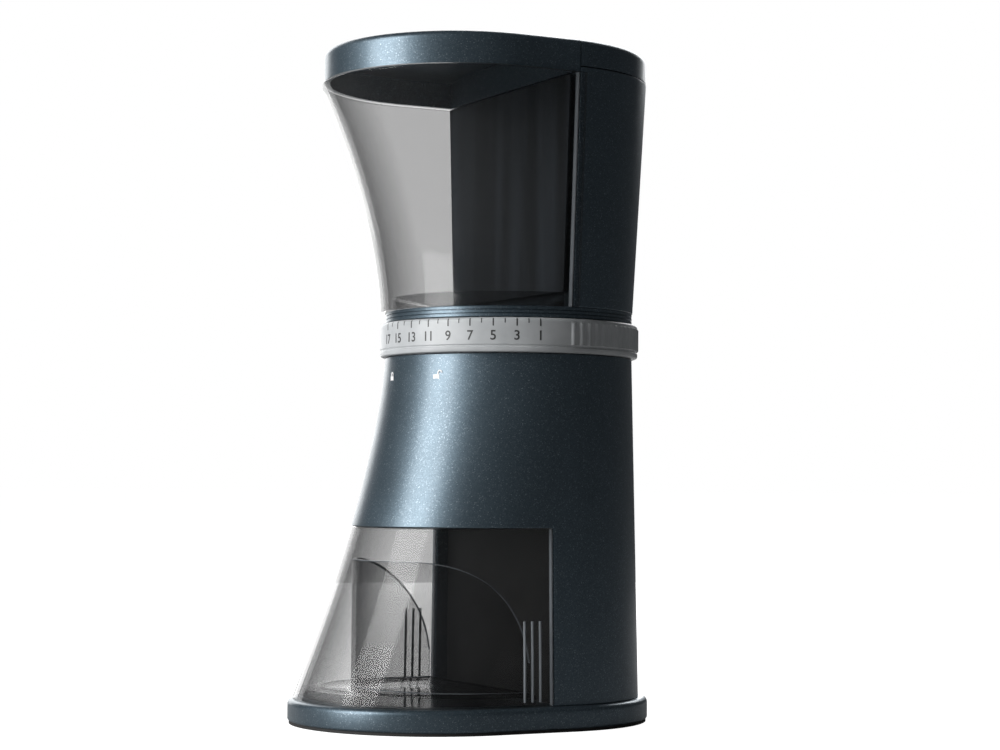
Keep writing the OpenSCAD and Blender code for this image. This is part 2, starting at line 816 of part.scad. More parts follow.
module switch_rocker() {
    half = switch_w / 2 - 2 - part_gap;
    color([0.6, 0.1, 0.08])
        translate([0, switch_y - 3, switch_z])
            rotate([-8, 0, 0])
                union() {
                    translate([-half, -1.6, -3.6]) cube([2 * half, 4.6, 7.2]);
                    translate([-half - 1.4, 0, 0])
                        rotate([0, 90, 0]) cylinder(r = 1, h = 2 * half + 2.8, $fn = 32);
                }
}

module cord_gland() {
    color([0.06, 0.06, 0.065])
        translate([0, body_r(gland_z), gland_z])
            rotate([90, 0, 0])
                difference() {
                    union() {
                        translate([0, 0, -3.5]) cylinder(r1 = cord_r + 1.2, r2 = gland_r - run_clear, h = 3);
                        translate([0, 0, -0.51]) cylinder(r = gland_r - run_clear, h = 4.5);
                        translate([0, 0, 3.5]) cylinder(r = gland_r + 1.8, h = 1.5);
                    }
                    translate([0, 0, -4]) cylinder(r = cord_r, h = 10);
                }
}

base_plate();
foot_ring();
base_screws();
body_shell();
chassis();
motor_can();
motor_rotor();
motor_screws();
pinion();
drive_gear();
burr_spindle();
lower_bush();
upper_bush();
sweeper();
cone_burr();
burr_nut();
ring_burr();
burr_carrier();
carrier_pins();
burr_housing();
housing_screws();
grind_collar();
grounds_chute();
hopper_base();
hopper();
hopper_floor();
spine();
rear_cap();
lid();
lid_pin();
bin_window();
bin_tub();
switch_frame();
switch_rocker();
cord_gland();
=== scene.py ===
import math
import json
import bpy
import bmesh
import numpy as np
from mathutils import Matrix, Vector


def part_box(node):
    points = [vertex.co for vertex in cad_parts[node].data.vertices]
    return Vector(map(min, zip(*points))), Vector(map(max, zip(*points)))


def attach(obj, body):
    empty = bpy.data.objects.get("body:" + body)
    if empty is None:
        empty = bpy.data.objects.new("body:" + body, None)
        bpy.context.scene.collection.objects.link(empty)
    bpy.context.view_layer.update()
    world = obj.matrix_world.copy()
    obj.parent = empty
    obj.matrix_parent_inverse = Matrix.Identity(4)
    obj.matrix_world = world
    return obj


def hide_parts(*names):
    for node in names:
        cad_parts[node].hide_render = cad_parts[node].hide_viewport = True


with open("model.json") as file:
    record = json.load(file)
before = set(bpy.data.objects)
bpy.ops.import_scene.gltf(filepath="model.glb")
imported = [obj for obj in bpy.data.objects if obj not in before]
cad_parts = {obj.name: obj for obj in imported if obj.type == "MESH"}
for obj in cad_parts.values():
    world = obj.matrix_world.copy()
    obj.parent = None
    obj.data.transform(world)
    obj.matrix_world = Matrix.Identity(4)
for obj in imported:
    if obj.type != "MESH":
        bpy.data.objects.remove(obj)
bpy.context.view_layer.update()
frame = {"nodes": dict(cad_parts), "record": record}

MM = 0.001


# ---------------------------------------------------------------- sizes, from the frame

def edge(node, axis, high):
    """One coordinate of a CAD node's box."""
    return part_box(node)[1 if high else 0][axis]


Z_BASE = edge("body_shell", 2, False)
Z_BODY_TOP = edge("body_shell", 2, True)
Z_FOOT = edge("base_plate", 2, False)
Z_COLLAR = edge("grind_collar", 2, False)
Z_COLLAR_TOP = edge("grind_collar", 2, True)
Z_HOPPER = edge("hopper", 2, False)
Z_HOPPER_TOP = edge("hopper", 2, True)
Z_LID = edge("lid", 2, False)
Z_CAP = edge("rear_cap", 2, False)
Z_SPINE_TOP = edge("spine", 2, True)
Z_BIN = edge("bin_window", 2, False)
Z_BIN_TOP = edge("bin_window", 2, True)
Z_TUB_TOP = edge("bin_tub", 2, True)
FOOT_R = edge("body_shell", 0, True)
BASE_R = edge("base_plate", 0, True)
BASE_REACH = -edge("base_plate", 1, False) - BASE_R
COLLAR_R = -edge("grind_collar", 1, False)
WAIST_R = edge("hopper_base", 0, True)
LID_R = edge("hopper", 0, True)
LID_REACH = -edge("hopper", 1, False) - LID_R
BIN_BACK = -edge("bin_window", 1, True)
SEAM = edge("hopper", 1, True)
CAP_FRONT = edge("spine", 1, False)
HINGE_HALF = edge("lid_pin", 0, True)
HINGE_Y = (edge("lid_pin", 1, True) + edge("lid_pin", 1, False)) / 2
HINGE_Z = (edge("lid_pin", 2, True) + edge("lid_pin", 2, False)) / 2

BODY_H = Z_BODY_TOP - Z_BASE
WINDOW_R = edge("bin_window", 0, True)
WINDOW_REACH = -edge("bin_window", 1, False) - WINDOW_R
SEAM_GAP = 0.4 * MM
FLAT = 0.3 * MM
BODY_CURVE = 1.5
HOPPER_CURVE = 1.84
BODY_REACH = FLAT + (WINDOW_REACH - FLAT) / ((Z_BODY_TOP - Z_BIN) / BODY_H) ** BODY_CURVE
BULGE_Z = Z_HOPPER + 1.8 * MM
LID_SIDE = 10.2 * MM
COLLAR_ROUND = 1.6 * MM
LID_ROUND = 3 * MM
LID_CROWN = 2.3 * MM
KNUCKLE_R = 2.6 * MM
SHELL_WALL = 2.5 * MM
CLEAR_WALL = 2.2 * MM
CLEAR_ROUND = 0.4 * MM
PRINT_T = 0.05 * MM
SHARP = 35


def body_r(z):
    """Radius of the body's plan at a height."""
    return WAIST_R + (FOOT_R - WAIST_R) * (Z_BODY_TOP - z) / BODY_H


def body_e(z):
    """How far the body's front arc is moved forward at a height."""
    t = max(0.0, (Z_BODY_TOP - z) / BODY_H)
    return FLAT + (BODY_REACH - FLAT) * t ** BODY_CURVE


def top_r(z):
    """Radius of the hopper's plan at a height."""
    return WAIST_R + (LID_R - WAIST_R) * (z - Z_COLLAR_TOP) / (Z_HOPPER_TOP - Z_COLLAR_TOP)


def top_e(z):
    """How far the hopper's front arc is moved forward at a height."""
    t = max(0.0, (z - BULGE_Z) / (Z_HOPPER_TOP - BULGE_Z))
    return FLAT + (LID_REACH - FLAT) * t ** HOPPER_CURVE


# ---------------------------------------------------------------- outlines and meshes

def outline(r, e, count=720):
    """The whole plan, anticlockwise from +X: a rear arc and the same arc moved forward by e."""
    half = count // 2
    a = np.linspace(0, math.pi, half)
    rear = np.c_[r * np.cos(a), r * np.sin(a)]
    front = np.c_[r * np.cos(a + math.pi), -e + r * np.sin(a + math.pi)]
    return np.vstack([rear, front])


def spread(path, count):
    """count points at even steps along an open path."""
    step = np.hypot(*np.diff(path, axis=0).T)
    s = np.r_[0, np.cumsum(step)]
    t = np.linspace(0, s[-1], count)
    return np.c_[np.interp(t, s, path[:, 0]), np.interp(t, s, path[:, 1])]


def cut_path(r, e, y, front, count):
    """The part of the plan in front of, or behind, the line at y, from one end on the line to the other."""
    a = math.asin(max(-1.0, min(1.0, y / r))) if y > 0 else 0.0
    b = math.asin(max(-1.0, min(1.0, (y + e) / r))) if y < -e else 0.0
    if front:
        side = np.linspace(math.pi - a, math.pi, 40)[:-1] if a else np.zeros(0)
        arc = np.linspace(math.pi - b, 2 * math.pi + b, 400)
        path = [np.c_[r * np.cos(side), r * np.sin(side)], np.c_[r * np.cos(arc), -e + r * np.sin(arc)]]
        if a:
            path.append(np.c_[r * np.cos(side[::-1]) * -1, r * np.sin(side[::-1])])
        elif y > -e:
            path = [[[-r, y]]] + path[1:] + [[[r, y]]]
    else:
        arc = np.linspace(a, math.pi - a, 400)
        path = [np.c_[r * np.cos(arc), r * np.sin(arc)]]
        if y < -e:
            low = np.linspace(b, 0, 40)
            low_arc = np.c_[r * np.cos(low), -e + r * np.sin(low)]
            path = [low_arc] + path + [low_arc[::-1] * (-1, 1)]
        elif y < 0:
            path = [[[r, y]]] + path + [[[-r, y]]]
    return spread(np.vstack(path), count)


def grid_piece(name, grids, closed=False, hide=None, cap_end=False, cap_start=False):
    """A mesh through rows of points [row][column][xyz]; closed joins the last column to the first."""
    rows = np.asarray(grids, float)
    k, n = rows.shape[:2]
    verts = rows.reshape(-1, 3)
    faces = []
    for a in range(k - 1):
        for b in range(n if closed else n - 1):
            if hide is not None and hide(a, b):
                continue
            q = (b + 1) % n
            faces.append((a * n + b, a * n + q, (a + 1) * n + q, (a + 1) * n + b))
    if cap_start:
        faces.append(tuple(reversed(range(n))))
    if cap_end:
        faces.append(tuple((k - 1) * n + b for b in range(n)))
    return mesh_piece(name, verts, faces)


def mesh_piece(name, verts, faces):
    """A mesh object with no loose or doubled points."""
    mesh = bpy.data.meshes.new(name)
    mesh.from_pydata([tuple(v) for v in verts], [], faces)
    mesh.validate()
    obj = bpy.data.objects.new(name, mesh)
    bpy.context.scene.collection.objects.link(obj)
    b = bmesh.new()
    b.from_mesh(mesh)
    loose = [v for v in b.verts if not v.link_faces]
    bmesh.ops.delete(b, geom=loose, context="VERTS")
    bmesh.ops.remove_doubles(b, verts=b.verts, dist=1e-6)
    bmesh.ops.recalc_face_normals(b, faces=b.faces)
    b.to_mesh(mesh)
    b.free()
    return obj


def settle(obj, sharp=SHARP):
    """Applies the object's modifiers and smooths its shading up to an angle."""
    dg = bpy.context.evaluated_depsgraph_get()
    mesh = bpy.data.meshes.new_from_object(obj.evaluated_get(dg))
    obj.modifiers.clear()
    obj.data = mesh
    mesh.shade_smooth()
    mesh.set_sharp_from_angle(angle=math.radians(sharp))
    return obj


def thicken(obj, wall):
    """Gives a surface a wall on the side that its faces turn away from."""
    m = obj.modifiers.new("wall", "SOLIDIFY")
    m.thickness = wall
    m.offset = -1
    m.use_even_offset = True
    return obj


def round_edges(obj, width, segments=2, angle=50):
    m = obj.modifiers.new("round", "BEVEL")
    m.width = width
    m.segments = segments
    m.limit_method = "ANGLE"
    m.angle_limit = math.radians(angle)
    m.use_clamp_overlap = True
    m.harden_normals = False
    return obj


def join(name, objs):
    """Several meshes as one."""
    b = bmesh.new()
    for o in objs:
        b.from_mesh(o.data)
        bpy.data.objects.remove(o)
    mesh = bpy.data.meshes.new(name)
    b.to_mesh(mesh)
    b.free()
    obj = bpy.data.objects.new(name, mesh)
    bpy.context.scene.collection.objects.link(obj)
    mesh.shade_smooth()
    mesh.set_sharp_from_angle(angle=math.radians(SHARP))
    return obj


def ring_rows(profile, count):
    """Rows of a turned piece from [radius, height] points, from the front round towards +X."""
    a = np.linspace(0, 2 * math.pi, count, endpoint=False)
    return [np.c_[r * np.sin(a), -r * np.cos(a), np.full(count, z)] for r, z in profile]


def block(name, lo, hi, bevel=0.0):
    """A box between two corners, with bevelled edges if asked."""
    x, y, z = zip(lo, hi)
    verts = [(x[i & 1], y[(i >> 1) & 1], z[i >> 2]) for i in range(8)]
    faces = [(0, 2, 3, 1), (4, 5, 7, 6), (0, 1, 5, 4), (1, 3, 7, 5), (3, 2, 6, 7), (2, 0, 4, 6)]
    obj = mesh_piece(name, verts, faces)
    if bevel:
        round_edges(obj, bevel)
        settle(obj)
    return obj


def levels(low, high, count, ease=0.35 * MM):
    """Heights from low to high, with one extra close to each end so that rims stay crisp."""
    return [low, low + ease] + list(np.linspace(low, high, count))[1:-1] + [high - ease, high]


# ---------------------------------------------------------------- materials

def shader(name):
    mat = bpy.data.materials.new(name)
    mat.use_nodes = True
    nodes, links = mat.node_tree.nodes, mat.node_tree.links
    return mat, nodes, links, nodes["Principled BSDF"]


def texture(nodes, links, kind, scale, stretch=(1, 1, 1), **settings):
    """A 3-D texture in the object's own space, in metres."""
    coords = nodes.new("ShaderNodeTexCoord")
    mapping = nodes.new("ShaderNodeMapping")
    mapping.inputs["Scale"].default_value = stretch
    tex = nodes.new(kind)
    tex.inputs["Scale"].default_value = scale
    for key, value in settings.items():
        tex.inputs[key].default_value = value
    links.new(coords.outputs["Object"], mapping.inputs["Vector"])
    links.new(mapping.outputs["Vector"], tex.inputs["Vector"])
    return tex


def ramp(nodes, links, source, stops):
    node = nodes.new("ShaderNodeValToRGB")
    elements = node.color_ramp.elements
    for i, (place, value) in enumerate(stops):
        e = elements[i] if i < 2 else elements.new(place)
        e.position = place
        e.color = value if isinstance(value, tuple) else (value, value, value, 1)
    links.new(source, node.inputs["Fac"])
    return node.outputs["Color"]


def bump(nodes, links, bsdf, height, depth, strength=1.0):
    node = nodes.new("ShaderNodeBump")
    node.inputs["Distance"].default_value = depth
    node.inputs["Strength"].default_value = strength
    links.new(height, node.inputs["Height"])
    links.new(node.outputs["Normal"], bsdf.inputs["Normal"])


def grey(v):
    return (v, v, v, 1)


def paint():
    """Satin metallic paint: slate blue with fine bright flakes and a faint orange peel."""
    mat, nodes, links, bsdf = shader("paint")
    flakes = texture(nodes, links, "ShaderNodeTexVoronoi", 3200)
    cloud = texture(nodes, links, "ShaderNodeTexNoise", 60, Detail=3)
    tone = ramp(nodes, links, flakes.outputs["Color"],
                [(0.15, (0.060, 0.088, 0.110, 1)), (0.80, (0.088, 0.122, 0.148, 1)),
                 (0.97, (0.24, 0.29, 0.33, 1))])
    links.new(tone, bsdf.inputs["Base Color"])
    rough = ramp(nodes, links, cloud.outputs["Fac"], [(0.3, 0.36), (0.7, 0.42)])
    links.new(rough, bsdf.inputs["Roughness"])
    bsdf.inputs["Metallic"].default_value = 0.72
    bsdf.inputs["Coat Weight"].default_value = 0.25
    bsdf.inputs["Coat Roughness"].default_value = 0.22
    peel = texture(nodes, links, "ShaderNodeTexVoronoi", 2600)
    bump(nodes, links, bsdf, peel.outputs["Distance"], 0.00004, 0.12)
    return mat


def smoke(name, alpha, colour):
    """Clear smoky plastic: mostly see-through, with a slight moulded ripple."""
    mat, nodes, links, bsdf = shader(name)
    ripple = texture(nodes, links, "ShaderNodeTexNoise", 38, stretch=(1, 1, 0.35), Detail=2)
    tint = ramp(nodes, links, ripple.outputs["Fac"],
                [(0.3, colour), (0.7, tuple(c * 1.25 for c in colour[:3]) + (1,))])
    links.new(tint, bsdf.inputs["Base Color"])
    bsdf.inputs["Roughness"].default_value = 0.07
    bsdf.inputs["IOR"].default_value = 1.55
    facing = nodes.new("ShaderNodeLayerWeight")
    facing.inputs["Blend"].default_value = 0.5
    shade = nodes.new("ShaderNodeMapRange")
    shade.inputs["From Min"].default_value = 0.25
    shade.inputs["To Min"].default_value = alpha
    shade.inputs["To Max"].default_value = min(0.95, alpha + 0.38)
    links.new(facing.outputs["Facing"], shade.inputs["Value"])
    links.new(shade.outputs["Result"], bsdf.inputs["Alpha"])
    bsdf.inputs["Specular IOR Level"].default_value = 0.35
    bump(nodes, links, bsdf, ripple.outputs["Fac"], 0.0004, 0.25)
    return mat


def plastic(name, dark, light, rough, grain=2200, depth=0.00006, coat=0.0):
    """Moulded plastic with a fine spark-eroded grain and a slight change of tone."""
    mat, nodes, links, bsdf = shader(name)
    cloud = texture(nodes, links, "ShaderNodeTexNoise", 90, Detail=4)
    links.new(ramp(nodes, links, cloud.outputs["Fac"], [(0.3, dark), (0.7, light)]),
              bsdf.inputs["Base Color"])
    links.new(ramp(nodes, links, cloud.outputs["Fac"], [(0.3, rough - 0.04), (0.7, rough + 0.04)]),
              bsdf.inputs["Roughness"])
    fine = texture(nodes, links, "ShaderNodeTexNoise", grain, Detail=2)
    bump(nodes, links, bsdf, fine.outputs["Fac"], depth, 0.5)
    bsdf.inputs["Coat Weight"].default_value = coat
    return mat


def metal(name, dark, light, rough, stretch):
    """Turned or brushed metal: fine lines along one direction."""
    mat, nodes, links, bsdf = shader(name)
    lines = texture(nodes, links, "ShaderNodeTexNoise", 900, stretch=stretch, Detail=4)
    links.new(ramp(nodes, links, lines.outputs["Fac"], [(0.3, dark), (0.7, light)]),
              bsdf.inputs["Base Color"])
    links.new(ramp(nodes, links, lines.outputs["Fac"], [(0.3, rough - 0.06), (0.7, rough + 0.08)]),
              bsdf.inputs["Roughness"])
    bsdf.inputs["Metallic"].default_value = 1.0
    bump(nodes, links, bsdf, lines.outputs["Fac"], 0.00003, 0.4)
    return mat


def lining():
    """Painted shade: near-black sheet standing for the shaded column seen through the hopper's rear, with
    lighter upright streaks that are painted reflections.
    """
    mat, nodes, links, bsdf = shader("hopper_lining")
    painted_reflection_streak = texture(nodes, links, "ShaderNodeTexNoise", 55, stretch=(1, 1, 0.06), Detail=3)
    # painted shade: near-black base colour, with lighter blue-grey upright streaks as painted reflections
    links.new(ramp(nodes, links, painted_reflection_streak.outputs["Fac"],
                   [(0.45, (0.006, 0.008, 0.010, 1)), (0.72, (0.030, 0.037, 0.046, 1))]),
              bsdf.inputs["Base Color"])
    bsdf.inputs["Roughness"].default_value = 0.5
    bsdf.inputs["Specular IOR Level"].default_value = 0.3
    return mat


TURNED = (0.12, 0.12, 3)
M = {
    "paint": paint(),
    "smoke_clear": smoke("smoke_clear", 0.20, (0.016, 0.017, 0.018, 1)),
    "grey_plastic": plastic("grey_plastic", (0.36, 0.375, 0.385, 1), (0.44, 0.455, 0.465, 1), 0.42),
    "black_plastic": plastic("black_plastic", grey(0.012), grey(0.022), 0.45),
    "rubber": plastic("rubber", grey(0.010), grey(0.020), 0.78, grain=1500, depth=0.0001),
    "steel": metal("steel", grey(0.42), grey(0.58), 0.3, TURNED),
    "burr_steel": metal("burr_steel", grey(0.20), grey(0.32), 0.36, TURNED),
    "bronze": metal("bronze", (0.36, 0.22, 0.09, 1), (0.50, 0.33, 0.15, 1), 0.4, TURNED),
    "copper": metal("copper", (0.33, 0.12, 0.05, 1), (0.52, 0.22, 0.10, 1), 0.38, TURNED),
    "gear_plastic": plastic("gear_plastic", (0.60, 0.56, 0.46, 1), (0.72, 0.69, 0.58, 1), 0.5),
    "switch_red": plastic("switch_red", (0.30, 0.012, 0.010, 1), (0.38, 0.018, 0.014, 1), 0.25, coat=0.5),
}
# painted shade material for the dark sheet inside the hopper
PAINTED_SHADE = lining()
PRINT_DARK = plastic("print_dark", grey(0.03), grey(0.05), 0.5)
PRINT_WHITE = plastic("print_white", grey(0.72), grey(0.82), 0.5)
# painted highlight: a lighter, less see-through smoke for clear edges where light catches them
CLEAR_PAINTED_HIGHLIGHT = smoke("clear_painted_highlight", 0.62, (0.34, 0.37, 0.40, 1))


def dress(obj, material, body, slot, *nodes):
    """Gives a new piece its material and its body, and hides the CAD nodes it stands for; slot is not used.
    """
    obj.data.materials.clear()
    obj.data.materials.append(material)
    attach(obj, body)
    if nodes:
        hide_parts(*nodes)
    return obj


for part in frame["record"]["subparts"]:
    cad = frame["nodes"][part["node"]]
    cad.data.materials.clear()
    cad.data.materials.append(M[part["material_slot"]])


# ---------------------------------------------------------------- camera, light and floor

def camera():
    """Forward of square-on to +X, low beside the body and looking slightly up."""
    azimuth, distance, height = math.radians(62), 1.003, 0.0976
    tilt, roll, turn = math.radians(2.68), math.radians(-0.38), math.radians(0.188)
    data = bpy.data.cameras.new("camera")
    data.sensor_width = 36
    data.lens = 85.45
    cam = bpy.data.objects.new("camera", data)
    cam.location = (distance * math.sin(azimuth), -distance * math.cos(azimuth), height)
    cam.rotation_euler = (math.pi / 2 + tilt, roll, azimuth + turn)
    bpy.context.scene.collection.objects.link(cam)
    bpy.context.scene.camera = cam


def area_light(name, azimuth, elevation, distance, size, power, aim=0.15):
    """A soft rectangular light that faces a point above the origin."""
    data = bpy.data.lights.new(name, "AREA")
    data.shape = "RECTANGLE"
    data.size, data.size_y = size
    data.energy = power
    obj = bpy.data.objects.new(name, data)
    a, e = math.radians(azimuth), math.radians(elevation)
    place = np.array([math.sin(a) * math.cos(e), -math.cos(a) * math.cos(e), math.sin(e)]) * distance
    obj.location = (place[0], place[1], place[2] + aim)
    obj.rotation_euler = (math.pi / 2 - e, 0, a)
    bpy.context.scene.collection.objects.link(obj)


def lights():
    """Three large soft lights: in front, to the left and behind."""
    bpy.context.scene.view_settings.view_transform = "Standard"
    area_light("key", 0, 14, 1.1, (0.6, 1.2), 22)
    area_light("left", -105, 14, 1.3, (1.1, 1.3), 13)
    area_light("back", 225, 32, 1.5, (0.7, 1.0), 9)


def surround():
    """A dim even surround that the camera sees white."""
    world = bpy.data.worlds.new("studio")
    bpy.context.scene.world = world
    world.use_nodes = True
    nodes, links = world.node_tree.nodes, world.node_tree.links
    seen, dim = nodes["Background"], nodes.new("ShaderNodeBackground")
    seen.inputs["Color"].default_value = (1, 1, 1, 1)
    seen.inputs["Strength"].default_value = 1.0
    dim.inputs["Color"].default_value = (0.93, 0.96, 1, 1)
    dim.inputs["Strength"].default_value = 0.07
    path, mix = nodes.new("ShaderNodeLightPath"), nodes.new("ShaderNodeMixShader")
    links.new(path.outputs["Is Camera Ray"], mix.inputs["Fac"])
    links.new(dim.outputs["Background"], mix.inputs[1])
    links.new(seen.outputs["Background"], mix.inputs[2])
    links.new(mix.outputs["Shader"], nodes["World Output"].inputs["Surface"])


def pale_floor():
    """A wide pale floor that the camera sees near white."""
    radius, sides = 40, 96
    a = np.linspace(0, 2 * math.pi, sides, endpoint=False)
    rim = [(radius * math.cos(t), radius * math.sin(t), 0) for t in a]
    floor = mesh_piece("floor", rim, [tuple(range(sides))])
    mat, nodes, links, bsdf = shader("floor")
    cloud = texture(nodes, links, "ShaderNodeTexNoise", 6, Detail=2)
    links.new(ramp(nodes, links, cloud.outputs["Fac"], [(0.3, grey(0.38)), (0.7, grey(0.40))]),
               bsdf.inputs["Base Color"])
    bsdf.inputs["Roughness"].default_value = 0.9
    bsdf.inputs["Specular IOR Level"].default_value = 0.1
    glow = nodes.new("ShaderNodeEmission")
    glow.inputs["Strength"].default_value = 0.975
    seen = nodes.new("ShaderNodeLightPath")
    both, choose = nodes.new("ShaderNodeAddShader"), nodes.new("ShaderNodeMixShader")
    links.new(bsdf.outputs["BSDF"], both.inputs[0])
    links.new(glow.outputs["Emission"], both.inputs[1])
    links.new(seen.outputs["Is Camera Ray"], choose.inputs["Fac"])
    links.new(bsdf.outputs["BSDF"], choose.inputs[1])
    links.new(both.outputs["Shader"], choose.inputs[2])
    links.new(choose.outputs["Shader"], nodes["Material Output"].inputs["Surface"])
    floor.data.materials.append(mat)


# ---------------------------------------------------------------- painted shells

def body():
    """Outer shell with the opening that the bin slides into, cut on grid lines."""
    cut_y, cut_z = -BIN_BACK + SEAM_GAP, Z_BIN_TOP + SEAM_GAP
    low = levels(Z_BASE, cut_z, 22)
    high = levels(cut_z, Z_BODY_TOP, 26)[1:]
    heights = low + high
    n_rear, n_front = 120, 120
    rows = []
    for z in heights:
        rear = cut_path(body_r(z), body_e(z), cut_y, False, n_rear)
        front = cut_path(body_r(z), body_e(z), cut_y, True, n_front)
        path = np.vstack([rear, front[1:-1]])
        rows.append(np.c_[path, np.full(len(path), z)])
    open_rows = len(low) - 1
    obj = grid_piece("body_paint", rows, closed=True,
                     hide=lambda a, b: a < open_rows and b >= n_rear - 1)
    thicken(obj, SHELL_WALL)
    round_edges(obj, 0.35 * MM)
    dress(settle(obj), M["paint"], "housing", "paint", "body_shell")


def plan_rows(profile, reach, count=240):
    """Rows of a piece on the whole plan, from [radius, height] points."""
    return [np.c_[outline(r, reach, count), np.full(count, z)] for r, z in profile]


def base():
    """Base plate: a low oval plinth with a rounded top edge and a hollow underside."""
    top, low = Z_BASE, Z_FOOT
    big, small, skirt, roof = 2.2 * MM, 0.9 * MM, 4 * MM, 3.5 * MM
    profile = [(BASE_R - skirt, top - roof), (BASE_R - skirt, low)]
    profile += [(BASE_R - small * (1 - math.sin(a)), low + small * (1 - math.cos(a)))
                for a in np.linspace(0, math.pi / 2, 5)]
    profile += [(BASE_R - big * (1 - math.cos(a)), top - big * (1 - math.sin(a)))
                for a in np.linspace(0, math.pi / 2, 9)]
    profile += [(BASE_R - 8 * MM, top)]
    obj = grid_piece("base_paint", plan_rows(profile, BASE_REACH), closed=True, cap_start=True, cap_end=True)
    dress(settle(obj, 30), M["paint"], "housing", "paint", "base_plate")


def lid_solid(name, loop, radius, reach, low, y, inward):
    """A lid with its upright side, rounded edge, low crown and hollow underside, as one closed skin."""
    wall = 2.2 * MM
    edge_z = Z_LID + LID_SIDE
    tight = radius(edge_z)
    e = reach(edge_z)

    def skin(inset, drop, back):
        r = tight - inset
        turn = LID_ROUND - inset
        rows = [loop(radius(z) - inset, reach(z), back, z) for z in levels(low, edge_z, 6)[:-1]]
        steps = [(turn * (1 - math.cos(a)), edge_z + turn * math.sin(a))
                 for a in np.linspace(0, math.pi / 2, 9)]
        flat = r - turn
        steps += [(turn + flat * t, edge_z + LID_ROUND - drop + LID_CROWN * (1 - (1 - t) ** 2))
                  for t in (0.05, 0.12, 0.22, 0.34, 0.47, 0.6, 0.73)]
        return rows + [loop(r - a, e, back, z) for a, z in steps]

    outer, inner = skin(0, 0, y), skin(wall, wall, y + inward * wall)
    return grid_piece(name, list(reversed(outer)) + inner, closed=True, cap_start=True, cap_end=True)


def front_loop(r, e, y, z, count=150):
    """Closed loop of the plan in front of y, with a straight back."""
    path = cut_path(r, e, y, True, count)
    back = np.c_[np.linspace(path[-1, 0], path[0, 0], 32), np.full(32, y)][1:-1]
    loop = np.vstack([path, back])
    return np.c_[loop, np.full(len(loop), z)]


def rear_loop(r, e, y, z, count=120):
    """Closed loop of the round plan behind y, with a straight front; it has no reach, so e is unused."""
    y = min(y, r * 0.98)
    path = cut_path(r, 0.0, y, False, count)
    front = np.c_[np.linspace(path[-1, 0], path[0, 0], 32), np.full(32, y)][1:-1]
    loop = np.vstack([path, front])
    return np.c_[loop, np.full(len(loop), z)]


def cut_box(obj, lo, hi):
    """Cuts a box out of an object."""
    tool = block("tool", lo, hi)
    m = obj.modifiers.new("cut", "BOOLEAN")
    m.operation = "DIFFERENCE"
    m.object = tool
    m.solver = "EXACT"
    settle(obj)
    bpy.data.objects.remove(tool)


def knuckle_piece(x0, x1, side):
    """One hinge knuckle and the web that joins it to its lid."""
    a = np.linspace(0, 2 * math.pi, 40, endpoint=False)
    c = 0.25 * MM
    rows = []
    for x, r in ((x0, 0.0), (x0, KNUCKLE_R - c), (x0 + c, KNUCKLE_R), (x1 - c, KNUCKLE_R),
                 (x1, KNUCKLE_R - c), (x1, 0.0)):
        rows.append(np.c_[np.full(40, x), HINGE_Y + r * np.cos(a), HINGE_Z + r * np.sin(a)])
    barrel = grid_piece("barrel", rows, closed=True)
    deep = 5.6 * MM
    y0, y1 = (HINGE_Y, HINGE_Y + deep) if side > 0 else (HINGE_Y - deep, HINGE_Y)
    web = block("web", (x0, y0, HINGE_Z - KNUCKLE_R), (x1, y1, HINGE_Z - 0.2 * MM), 0.3 * MM)
    return [barrel, web]


def lids():
    """Hinged lid in front and fixed cap behind, flush with each other, with knuckles between."""
    split = HINGE_HALF * 0.55
    room = KNUCKLE_R + 0.3 * MM
    r, e = top_r(Z_LID), top_e(Z_LID)
    lid = lid_solid("lid_paint", front_loop, lambda z: r, lambda z: e, Z_LID, SEAM, -1)
    cap = lid_solid("cap_paint", rear_loop, lambda z: r, lambda z: 0, Z_CAP, CAP_FRONT, 1)
    for obj in (lid, cap):
        cut_box(obj, (-HINGE_HALF - 0.3 * MM, HINGE_Y - room, HINGE_Z - room),
                 (HINGE_HALF + 0.3 * MM, HINGE_Y + room, HINGE_Z + 20 * MM))
    gap = 0.15 * MM
    lid = join("lid_paint", [lid] + knuckle_piece(-split + gap, split - gap, -1))
    cap = join("cap_paint", [cap] + knuckle_piece(split + gap, HINGE_HALF, 1)
               + knuckle_piece(-HINGE_HALF, -split - gap, 1))
    dress(lid, M["paint"], "lid", "paint", "lid")
    dress(cap, M["paint"], "housing", "paint", "rear_cap")


def spine():
    """Painted column behind the hopper."""
    rows = [rear_loop(top_r(z), 0, CAP_FRONT, z) for z in levels(Z_HOPPER, Z_SPINE_TOP, 24)]
    obj = grid_piece("spine_paint", rows, closed=True)
    thicken(obj, SHELL_WALL)
    round_edges(obj, 0.5 * MM, 3)
    dress(settle(obj), M["paint"], "housing", "paint", "spine")


def flange():
    """Stepped ring between the collar and the hopper, with its two fine shadow lines."""
    lo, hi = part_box("hopper_base")
    throat, spigot = 20 * MM, 38.1 * MM
    r, z0, z1 = WAIST_R, Z_COLLAR_TOP + 0.3 * MM, hi[2]
    third = (z1 - z0) / 3
    groove = 0.45 * MM
    profile = [(throat, z0), (spigot, z0), (spigot, lo[2]), (spigot + 3 * MM, lo[2]), (spigot + 3 * MM, z0),
               (r - 0.3 * MM, z0)]
    for i in (1, 2):
        z = z0 + third * i
        profile += [(r, z - third + 0.25 * MM), (r, z - 0.35 * MM),
                    (r - groove, z - 0.2 * MM), (r - groove, z)]
    profile += [(r, z0 + 2 * third + 0.2 * MM), (r, z1 - 0.2 * MM), (r - 0.2 * MM, z1),
                (throat, z1), (throat, z0)]
    obj = grid_piece("flange_paint", ring_rows(profile, 240), closed=True)
    dress(settle(obj, 30), M["paint"], "housing", "paint", "hopper_base")


# ---------------------------------------------------------------- grind collar and its marks

